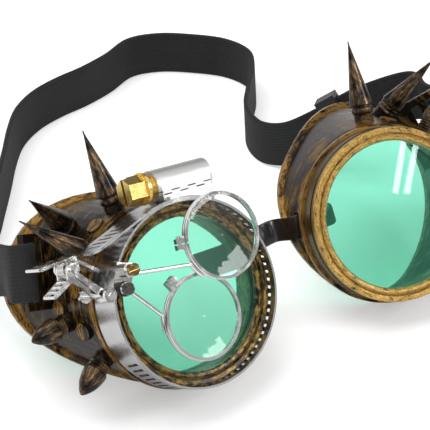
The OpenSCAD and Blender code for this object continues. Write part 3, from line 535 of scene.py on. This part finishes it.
radius = calc(spike, "MULTIPLY", share, given["Radius"])
rise = calc(spike, "ADD", calc(spike, "MULTIPLY", below, carried(spike, "neck")),
            calc(spike, "MULTIPLY", above, given["Length"]))
own = joined(spike, calc(spike, "MULTIPLY", radius, calc(spike, "COSINE", turn)),
             calc(spike, "MULTIPLY", radius, calc(spike, "SINE", turn)), rise)
facing = node(spike, "FunctionNodeAlignRotationToVector", {"Vector": carried(spike, "way", "FLOAT_VECTOR")},
              axis="Z").outputs[0]
turned = node(spike, "FunctionNodeRotateVector", {"Vector": own, "Rotation": facing}).outputs[0]
place = node(spike, "ShaderNodeVectorMath", {0: turned, 1: carried(spike, "seat", "FLOAT_VECTOR")}).outputs[0]
shift = joined(spike, calc(spike, "MULTIPLY", carried(spike, "collars"), 0.03), 0.0, 0.0)
own = node(spike, "ShaderNodeVectorMath", {0: own, 1: shift}).outputs[0]
shaped = stored(spike, standing, "turned", own)
shaped = node(spike, "GeometryNodeSetPosition", {"Geometry": shaped, "Position": place}).outputs[0]
shaped = node(spike, "GeometryNodeMergeByDistance", {"Geometry": shaped, "Distance": 0.000002}).outputs[0]
shaped = node(spike, "GeometryNodeSetShadeSmooth", {"Geometry": shaped}).outputs[0]
shaped = node(spike, "GeometryNodeRealizeInstances", {"Geometry": shaped}).outputs[0]
shaped = node(spike, "GeometryNodeSetMaterial", {
    "Geometry": shaped, "Material": given["Material"]}).outputs[0]
node(spike, "NodeGroupOutput", {0: shaped})

dark_bronze, tree, shader = finish("aged_bronze")
along = node(tree, "ShaderNodeAttribute", attribute_name="turned").outputs["Vector"]
own = node(tree, "ShaderNodeMapping", {"Vector": along, "Scale": (1000, 1000, 1000)}).outputs[0]
lengthwise = node(tree, "ShaderNodeVectorMath", {0: own, 1: (1, 1, 0.09)}, operation="MULTIPLY").outputs[0]
rubbed = noise(tree, lengthwise, 1.9, 6.0, 0.65)
shades = noise(tree, own, 0.22, 3.0)
grit = noise(tree, own, 6.0, 2.0)
gold = calc(tree, "MULTIPLY", eased(tree, rubbed, 0.46, 0.70), eased(tree, shades, 0.34, 0.62))
dark = blended(tree, eased(tree, shades, 0.35, 0.65), *BRONZE_DARKS)
fill(tree, shader, {
    "Base Color": blended(tree, gold, dark, BRONZE_GOLD), "Metallic": 0.85,
    "Roughness": calc(tree, "MULTIPLY_ADD", grit, 0.25, 0.18), "Coat Weight": 0.3, "Coat Roughness": 0.05,
    "Normal": bumped(tree, calc(tree, "ADD", rubbed, calc(tree, "MULTIPLY", grit, 0.5)), 0.00006)})


def seat_point(side, angle, depth, over):
    return on_cup(side, *polar(wall_radius(angle, depth) + over, angle, depth))


def way_on_cup(side, *way):
    return (on_cup(side, *way) - on_cup(side, 0, 0, 0)).normalized()


for name, side in CUPS.items():
    for kind, seats, ways, necks, collars, shape in (
            ("horns", HORN_SEATS, HORN_WAYS, HORN_NECKS, HORN_COLLARS, HORN_SHAPE),
            ("bullets", BULLET_SEATS, BULLET_WAYS, BULLET_NECKS, BULLET_COLLARS, BULLET_SHAPE)):
        points = [seat_point(side, *seat) for seat in seats]
        seeds = seeded(name + "_seats", points, seat=points, way=[way_on_cup(side, *way) for way in ways],
                       neck=[neck * MM for neck in necks], collars=[float(count) for count in collars])
        made = grown("%s_turned_%s" % (name, kind), seeds, spike, {
            "Length": shape[0] * MM, "Radius": shape[1] * MM, "Roundness": shape[2], "Fullness": shape[3],
            "Material": dark_bronze})
        outward(made.data)
        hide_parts("%s_%s" % (name, kind))
        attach(made, "goggles")

# Nose strap. A strip of glossy black vinyl with round corners goes from inside one cup, through
# a slot in its wall, to inside the other, and a rivet holds each end.
STRAP_T, STRAP_GAP, STRAP_W = 1.7, 0.5, 18
BRIDGE_W, BRIDGE_T, BRIDGE_END, BRIDGE_SLOPE = 7.4, 1.8, 14, math.radians(10)
BRIDGE_SEAT, BRIDGE_GAP, BRIDGE_CORNER = (169.6, 13.6), 0.15, 0.5
PEAK_BACK, PEAK_UNDER, CURVE_STEPS = 15.6, 0.7, 8
VINYL = ((0.006, 0.006, 0.007), (0.016, 0.016, 0.018))


def between(p0, p1, p2, p3, share):
    return 0.5 * (2 * p1 + (p2 - p0) * share + (2 * p0 - 5 * p1 + 4 * p2 - p3) * share ** 2
                  + (3 * p1 - p0 - 3 * p2 + p3) * share ** 3)


def smooth(points, steps):
    """A curve through points, each a place and a direction across the strap in one list of six."""
    last = len(points) - 1
    found = []
    for i in range(last):
        near = [points[max(0, i - 1)], points[i], points[i + 1], points[min(last, i + 2)]]
        for k in range(steps):
            found.append([between(*ends, k / steps) for ends in zip(*near)])
    return found + [list(points[last])]


def stations(line, spacing, radius):
    """The curve cut at even steps, and closer at its rounded ends, with the distance to an end."""
    places = [Vector(p[:3]) for p in line]
    run = [0.0]
    for a, b in zip(places, places[1:]):
        run.append(run[-1] + (b - a).length)
    count = max(4, round((run[-1] - 2 * radius) / spacing))
    cuts = [0.0, 0.06 * radius, 0.25 * radius, 0.6 * radius]
    cuts = cuts + [radius + (run[-1] - 2 * radius) * k / count for k in range(count + 1)] + [
        run[-1] - c for c in reversed(cuts)]
    found, i = [], 0
    for cut in cuts:
        while i < len(run) - 2 and run[i + 1] < cut:
            i += 1
        share = (cut - run[i]) / (run[i + 1] - run[i])
        mixed = [a + (b - a) * share for a, b in zip(line[i], line[i + 1])]
        found.append((mixed, cut, min(cut, run[-1] - cut)))
    return found


def ribbon(name, line, section, spacing, radius, width):
    """A strap along a curve. The section is its outline across and out, and radius rounds its ends."""
    cuts = stations(line, spacing, radius)
    places = [Vector(cut[0][:3]) for cut in cuts]
    verts, faces, spots = [], [], []
    sides = len(section)
    for i, (mixed, run, end) in enumerate(cuts):
        way = (places[min(i + 1, len(cuts) - 1)] - places[max(0, i - 1)]).normalized()
        across = Vector(mixed[3:])
        across = (across - across.dot(way) * way).normalized()
        out = way.cross(across)
        inset = radius - math.sqrt(max(0.0, radius ** 2 - max(0.0, radius - end) ** 2))
        keep = 1 - 2 * inset / width
        for a, b in section:
            verts.append((places[i] + a * keep * across + b * out) * MM)
            spots.append((run * MM, (a / width + 0.5) * width * MM))
        if i:
            for j in range(sides):
                k = (j + 1) % sides
                faces.append(((i - 1) * sides + j, i * sides + j, i * sides + k, (i - 1) * sides + k))
    first, last = tuple(range(sides)), tuple(range((len(cuts) - 1) * sides, len(cuts) * sides))
    faces += [first, tuple(reversed(last))]
    mesh = bpy.data.meshes.new(name)
    mesh.from_pydata(verts, [], faces)
    layer = mesh.uv_layers.new(name="along")
    for loop in mesh.loops:
        layer.data[loop.index].uv = spots[loop.vertex_index]
    made = bmesh.new()
    made.from_mesh(mesh)
    bmesh.ops.triangulate(made, faces=[f for f in made.faces if len(f.verts) > 4])
    bmesh.ops.recalc_face_normals(made, faces=made.faces)
    made.to_mesh(mesh)
    made.free()
    mesh.shade_smooth()
    return add_object(name, mesh)


def rounded_section(width, thick, corner, steps=4):
    """Outline of a flat strap with round corners."""
    points = []
    for k, (x, y) in enumerate(((1, 1), (-1, 1), (-1, -1), (1, -1))):
        for s in range(steps + 1):
            turn = math.radians(90 * k + 90 * s / steps)
            points.append((x * (width / 2 - corner) + corner * math.cos(turn),
                           y * (thick / 2 - corner) + corner * math.sin(turn)))
    return points


def millimetres(point):
    return [c / MM for c in point]


bridge_mouth = Vector(polar(wall_radius(*BRIDGE_SEAT) + BRIDGE_GAP, *BRIDGE_SEAT))
halves = {}
for side in (-1, 1):
    halves[side] = []
    for inward in (BRIDGE_END, 8, 2, -3):
        spot = bridge_mouth + inward * Vector((math.cos(BRIDGE_SLOPE), 0, math.sin(BRIDGE_SLOPE)))
        halves[side].append(millimetres(on_cup(side, *spot)) + list(way_on_cup(side, 0, 1, 0)))
peak = [0, PEAK_BACK - MIDDLE / MM, LENS_HEIGHT / MM - PEAK_UNDER, 0, math.sin(PITCH), math.cos(PITCH)]
line = smooth(halves[-1] + [peak] + halves[1][::-1], CURVE_STEPS)
section = rounded_section(BRIDGE_W, BRIDGE_T, BRIDGE_CORNER)
nose_strap = ribbon("nose_strap", line, section, spacing=0.9, radius=1.2, width=BRIDGE_W)
made, tree, shader = finish("vinyl")
spot = object_place(tree)
ripple = noise(tree, spot, 260.0, 3.0)
pores = node(tree, "ShaderNodeTexVoronoi", {"Vector": spot, "Scale": 1500.0}).outputs[0]
fill(tree, shader, {"Base Color": blended(tree, ripple, *VINYL),
                    "Roughness": calc(tree, "MULTIPLY_ADD", ripple, 0.18, 0.1), "Coat Weight": 0.6,
                    "Coat Roughness": 0.06,
                    "Normal": bumped(tree, calc(tree, "MULTIPLY_ADD", pores, 0.2, ripple), 0.00006)})
nose_strap.data.materials.append(made)
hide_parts("bridge_strap")
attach(nose_strap, "goggles")

# Head strap. A woven elastic, 18 mm wide, with fifteen cords of rubber laid lengthwise between
# its two faces. It turns round the outer bar of a lug on each cup, and stands on its edge in a
# loop behind the goggles.
RIBS, RIB_DEPTH, RIB_POINTS, EDGE_BEVEL = 15, 0.025, 4, 0.4
ELASTIC = ((0.0045, 0.0045, 0.005), (0.024, 0.024, 0.026))
THREAD_PITCH = 0.55 * MM
LUG_SEAT, LUG_SINK, LUG_NECK, LUG_CLEAR = (34.9, 33), 2, 4.3, 0.3
LUG_BAR, LUG_TURN, LUG_LEAN = 2.4, math.radians(14), math.radians(22)
lug_slot = STRAP_T + 2 * STRAP_GAP + LUG_CLEAR
lug_root = Vector(polar(wall_radius(*LUG_SEAT) - LUG_SINK, *LUG_SEAT))
fold_r = LUG_BAR / 2 + STRAP_GAP + STRAP_T / 2
fold_x = LUG_NECK + 2 * lug_slot + 1.5 * LUG_BAR


def on_lug(out, up_bar, behind):
    """A cup's own offset for a place on the lug."""
    x = out * math.cos(LUG_LEAN) + behind * math.sin(LUG_LEAN)
    z = behind * math.cos(LUG_LEAN) - out * math.sin(LUG_LEAN)
    return Vector((x * math.cos(LUG_TURN) - up_bar * math.sin(LUG_TURN),
                   x * math.sin(LUG_TURN) + up_bar * math.cos(LUG_TURN), z))


FOLD = ((-1, 9), (-1, 4), (-1, 0), (-0.8, -1.9), (0, -2.7), (0.8, -1.9), (1, 0), (1, 4))


def fold(side):
    across = list(way_on_cup(side, *on_lug(0, 1, 0)))
    spots = [lug_root + on_lug(fold_x + share * fold_r, 0, z) for share, z in FOLD]
    return [millimetres(on_cup(side, *spot)) + across for spot in spots]


MID = STRAP_W / 2
FREE_ROUTE = (
    (-82.5, 46, 36, 28), (-86, 62, 27, 18), (-81, 81, 17, 8), (-71, 97, 11, 2), (-59, 110, MID, 0),
    (-49, 125, MID, 0), (-40, 139, MID, 0), (-32, 152, MID, 0), (-23, 164, MID, 0), (-12, 172, MID, 0),
    (0, 176, MID, 0), (12, 178, MID, 0), (25, 182, MID, 0), (38, 188, MID, 0), (50, 185, MID, 0),
    (61, 176, MID, 0), (70, 165, MID, 0), (73, 152, MID, 0), (68, 140, MID, 0), (58, 127, MID, 0),
    (50, 115, MID, 0), (48, 102, MID, 0), (54, 90, 12, 2), (64, 80, 20, 8), (75, 71, 29, 16),
    (86.5, 58, 37, 24), (84, 45, 39, 28))
route = fold(-1)
for x, y, z, lean in FREE_ROUTE:
    route.append([x, y - MIDDLE / MM, z, 0, math.sin(math.radians(lean)), math.cos(math.radians(lean))])
line = smooth(route + fold(1)[::-1], CURVE_STEPS)
for point in line:
    point[2] = max(point[2], MID)
across_points = RIB_POINTS * RIBS
section = []
for face in (1, -1):
    for k in range(across_points + 1):
        share = k / across_points
        rib = RIB_DEPTH * (0.5 - 0.5 * math.cos(2 * math.pi * RIBS * share))
        section.append((face * (STRAP_W / 2 - EDGE_BEVEL) * (1 - 2 * share),
                        face * (STRAP_T / 2 - RIB_DEPTH + rib)))
    section.append((-face * STRAP_W / 2, 0))
elastic = ribbon("elastic_strap", line, section, spacing=1.4, radius=0.4, width=STRAP_W)
made, tree, shader = finish("elastic")
spot = node(tree, "ShaderNodeUVMap", uv_map="along").outputs[0]
parts = split(tree, spot)
threads = calc(tree, "SINE", calc(tree, "MULTIPLY", parts[0], 2 * math.pi / THREAD_PITCH))
crossing = calc(tree, "SINE", calc(tree, "MULTIPLY", parts[1], 2 * math.pi * RIBS / (STRAP_W * MM)))
woven = calc(tree, "MULTIPLY", threads, calc(tree, "MULTIPLY_ADD", crossing, 0.5, 0.5))
lint = noise(tree, spot, 700.0, 4.0)
faded = noise(tree, spot, 55.0, 3.0)
shade = calc(tree, "ADD", calc(tree, "MULTIPLY", woven, 0.18), calc(tree, "MULTIPLY_ADD", faded, 0.5, 0.2))
fill(tree, shader, {"Base Color": blended(tree, shade, *ELASTIC),
                    "Roughness": calc(tree, "MULTIPLY_ADD", lint, 0.2, 0.7), "Sheen Weight": 0.06,
                    "Sheen Roughness": 0.4, "Sheen Tint": (0.6, 0.6, 0.65, 1),
                    "Normal": bumped(tree, calc(tree, "MULTIPLY_ADD", lint, 0.3, woven), 0.00012)})
elastic.data.materials.append(made)
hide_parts("head_strap")
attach(elastic, "goggles")

# Slider. A moulded black nylon buckle behind the far cup. The strap is threaded through it, and
# its grip holds the length.
NYLON = ((0.010, 0.010, 0.011), (0.024, 0.024, 0.026))
made, tree, shader = finish("slider_plastic")
spot = object_place(tree)
grain = noise(tree, spot, 1400.0, 3.0)
fill(tree, shader, {"Base Color": blended(tree, grain, *NYLON),
                    "Roughness": calc(tree, "MULTIPLY_ADD", grain, 0.25, 0.28),
                    "Normal": bumped(tree, grain, 0.00004)})
dress(made, "strap_slider")

# Rivets of the nose strap. Domed heads of bright zinc inside the cups, over the strap's ends.
# The small parts of the clip are the same zinc, tumbled and plated bright.


def bright_metal(name, low, high, rough, scratch):
    """Plated metal with fine scratches and a little uneven gloss."""
    made, tree, shader = finish(name)
    spot = own_place(tree, -1)
    drawn = node(tree, "ShaderNodeMapping", {"Vector": spot, "Scale": (0.3, 3.0, 3.0)}).outputs[0]
    lines = noise(tree, drawn, 2.4, 5.0)
    stain = noise(tree, spot, 0.4, 4.0)
    gloss = calc(tree, "MULTIPLY_ADD", eased(tree, stain, 0.35, 0.75), rough, rough * 0.6)
    fill(tree, shader, {"Base Color": blended(tree, stain, low, high), "Metallic": 1.0, "Roughness": gloss,
                        "Normal": bumped(tree, lines, scratch)})
    return made


zinc = bright_metal("zinc", (0.70, 0.69, 0.67), (0.90, 0.89, 0.87), 0.16, 0.000012)
dress(zinc, "bridge_studs", "clip_body", "clip_pin", "clip_lever", "clip_rod", "clip_pads", "upper_arm",
      "lower_arm", "upper_rim", "lower_rim", "upper_lock_screw", "lower_lock_screw")

# Hose clamp. A stainless band with stamped slots lies round the lens ring's skirt and ends in a
# straight tail, rolled bright with fine drawn lines. A duller pressed housing rides on it, closed
# along one side by stamped tabs.
STAINLESS = ((0.50, 0.50, 0.51), (0.74, 0.74, 0.75))
HOUSING, SEAM_DARK = (0.74, 0.74, 0.73), (0.03, 0.03, 0.03)
made, tree, shader = finish("stainless")
place = own_place(tree, -1)
parts = split(tree, place)
around = calc(tree, "ARCTAN2", parts[0], parts[1])
unrolled = joined(tree, calc(tree, "MULTIPLY", around, 1.5), calc(tree, "MULTIPLY", parts[2], 5.0), 0.0)
lines = noise(tree, unrolled, 2.0, 5.0)
stain = noise(tree, place, 0.15, 4.0)
fill(tree, shader, {"Base Color": blended(tree, stain, *STAINLESS), "Metallic": 1.0,
                    "Roughness": calc(tree, "MULTIPLY_ADD", lines, 0.2, 0.1),
                    "Normal": bumped(tree, lines, 0.00004)})
dress(made, "clamp_band")

# the seam lies at a distance from the lens axis, and steps to and fro from tab to tab
HOUSING_TURN, SEAM_AT, TAB_STEP, TAB_RATE, SEAM_EDGE = math.radians(95), 32.2, 0.45, 1.05, (0.08, 0.2)
made, tree, shader = finish("stainless_housing")
place = own_place(tree, -1)
parts = split(tree, place)
outward_mm = calc(tree, "ADD", calc(tree, "MULTIPLY", parts[0], math.cos(HOUSING_TURN)),
                  calc(tree, "MULTIPLY", parts[1], math.sin(HOUSING_TURN)))
along_mm = calc(tree, "SUBTRACT", calc(tree, "MULTIPLY", parts[1], math.cos(HOUSING_TURN)),
                calc(tree, "MULTIPLY", parts[0], math.sin(HOUSING_TURN)))
tabs = calc(tree, "SIGN", calc(tree, "SINE", calc(tree, "MULTIPLY", along_mm, TAB_RATE)))
seam_at = calc(tree, "MULTIPLY_ADD", tabs, TAB_STEP, SEAM_AT)
off_seam = calc(tree, "ABSOLUTE", calc(tree, "SUBTRACT", outward_mm, seam_at))
seam = calc(tree, "SUBTRACT", 1.0, eased(tree, off_seam, *SEAM_EDGE))
drawn = joined(tree, calc(tree, "MULTIPLY", along_mm, 0.3), calc(tree, "MULTIPLY", outward_mm, 4.0),
               calc(tree, "MULTIPLY", parts[2], 4.0))
lines = noise(tree, drawn, 1.5, 5.0)
relief = calc(tree, "SUBTRACT", calc(tree, "MULTIPLY", lines, 0.3), seam)
fill(tree, shader, {"Base Color": blended(tree, seam, HOUSING, SEAM_DARK), "Metallic": 1.0,
                    "Roughness": calc(tree, "MULTIPLY_ADD", lines, 0.25, 0.24),
                    "Normal": bumped(tree, relief, 0.0002)})
dress(made, "clamp_housing")

# Worm screw. A hexagon head with a deep slot over a flange, turned in steel and passivated
# yellow. The loupe's upper pivot screw is the same metal, gone dull.
YELLOW = ((0.80, 0.52, 0.12), (0.95, 0.76, 0.32))
made, tree, shader = finish("yellow_brass")
spot = own_place(tree, -1)
cloud = noise(tree, spot, 0.5, 4.0)
specks = noise(tree, spot, 5.0, 4.0)
fill(tree, shader, {"Base Color": blended(tree, cloud, *YELLOW), "Metallic": 1.0,
                    "Roughness": calc(tree, "MULTIPLY_ADD", specks, 0.2, 0.08),
                    "Normal": bumped(tree, specks, 0.00004)})
dress(made, "worm_screw")
aged_brass = bright_metal("aged_brass", (0.30, 0.20, 0.07), (0.62, 0.47, 0.20), 0.16, 0.00001)
dress(aged_brass, "upper_pivot_screw")

# Spring of the clip. Four curls and a quarter of hard-drawn wire round the pin, with a leg at
# each end that bears on a plate.
SPRING_R, WIRE_R, CURLS, CURL_GAP, LEG = 2.1, 0.32, 4.25, 0.42, 3.4
CURL_POINTS, WIRE_SIDES = 24, 12
BAND_T, PIN_OUT, CLIP_TURN, SPRING_DEPTH = 0.7, 14.8, 28.8, -0.15
clip_pivot = Vector(polar(RING_R + BAND_T + PIN_OUT, CLIP_TURN, SPRING_DEPTH))
pitch = 2 * WIRE_R + CURL_GAP
points = []
for k in range(round(CURLS * CURL_POINTS) + 1):
    turn = math.radians(k * 360 / CURL_POINTS + 90)
    rise = pitch * (k / CURL_POINTS - CURLS / 2)
    points.append(clip_pivot + Vector((SPRING_R * math.cos(turn), SPRING_R * math.sin(turn), rise)))
points = [points[0] + Vector((LEG, 0, 0))] + points + [points[-1] + Vector((0, -LEG, 0))]


def wire(name, points, radius):
    """A round wire through points of the near cup's own frame, in millimetres."""
    made = bmesh.new()
    rings = []
    for i, point in enumerate(points):
        way = (points[min(i + 1, len(points) - 1)] - points[max(0, i - 1)]).normalized()
        out = way.cross(Vector((0, 0, 1))).normalized()
        over = out.cross(way)
        turns = [2 * math.pi * j / WIRE_SIDES for j in range(WIRE_SIDES)]
        ring = [point + radius * (math.cos(turn) * out + math.sin(turn) * over) for turn in turns]
        rings.append([made.verts.new(on_cup(-1, *corner)) for corner in ring])
    for a, b in zip(rings, rings[1:]):
        for j in range(WIRE_SIDES):
            k = (j + 1) % WIRE_SIDES
            made.faces.new((a[j], a[k], b[k], b[j]))
    made.faces.new(rings[0])
    made.faces.new(rings[-1])
    bmesh.ops.recalc_face_normals(made, faces=made.faces)
    mesh = bpy.data.meshes.new(name)
    made.to_mesh(mesh)
    made.free()
    mesh.shade_smooth()
    return add_object(name, mesh)


spring = wire("torsion_spring", points, WIRE_R)
spring.data.materials.append(zinc)
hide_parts("clip_spring")
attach(spring, "goggles")

# Knuckles. Two short posts on the clip's front leg carry the loupe arms: the upper one bright,
# the lower one blackened and knurled, each closed by a slotted screw.
PIVOT_IN, PIVOT_TURN, KNOB_EDGE = 1, 22.2, (2.5, 2.6)
KNURLS_AROUND, KNURLS_ALONG = 24.0, 9.0
LOWER_PIVOT = Vector(polar(RING_R - PIVOT_IN, PIVOT_TURN, 0))
KNOB_DARK, POST_BRIGHT = (0.07, 0.065, 0.06), (0.78, 0.76, 0.72)
made, tree, shader = finish("knuckle_metal")
place = own_place(tree, -1)
flat = node(tree, "ShaderNodeVectorMath", {0: place, 1: (1, 1, 0)}, operation="MULTIPLY").outputs[0]
away = node(tree, "ShaderNodeVectorMath", {0: flat, 1: LOWER_PIVOT}, operation="DISTANCE").outputs["Value"]
bright = eased(tree, away, *KNOB_EDGE)
grain = noise(tree, place, 2.0, 4.0)
parts = split(tree, place)
round_knob = calc(tree, "ARCTAN2", calc(tree, "SUBTRACT", parts[1], LOWER_PIVOT.y),
                  calc(tree, "SUBTRACT", parts[0], LOWER_PIVOT.x))
twist = calc(tree, "MULTIPLY", round_knob, KNURLS_AROUND)
crossed = calc(tree, "MULTIPLY", *(
    calc(tree, "SINE", calc(tree, "MULTIPLY_ADD", parts[2], way * KNURLS_ALONG, twist)) for way in (1, -1)))
knurl = calc(tree, "MULTIPLY", crossed, calc(tree, "SUBTRACT", 1.0, bright))
fill(tree, shader, {"Base Color": blended(tree, bright, KNOB_DARK, POST_BRIGHT), "Metallic": 1.0,
                    "Roughness": calc(tree, "MULTIPLY_ADD", grain, 0.2, 0.12),
                    "Normal": bumped(tree, calc(tree, "MULTIPLY_ADD", knurl, 2.0, grain), 0.00006)})
dress(made, "knuckle_blocks")
dark = bright_metal("dark_steel", (0.05, 0.048, 0.045), (0.10, 0.095, 0.09), 0.3, 0.00003)
dress(dark, "lower_pivot_screw")

# Loupe lenses. Two clear glass magnifiers, ground round on both faces and coated. Each lies in
# the groove of its wire rim.
GLASS, GLASS_TINT = (0.97, 1, 0.99, 1), (0.95, 0.97, 0.96)
made, tree, shader = finish("clear_lens")
spot = object_place(tree)
smear = noise(tree, spot, 90.0, 5.0, 0.7)
fill(tree, shader, {"Base Color": GLASS, "Transmission Weight": 1.0, "IOR": 1.5,
                    "Roughness": calc(tree, "MULTIPLY", eased(tree, smear, 0.6, 0.85), 0.06)})
lit_through(tree, shader, GLASS_TINT)
dress(made, "upper_loupe_lens", "lower_loupe_lens")
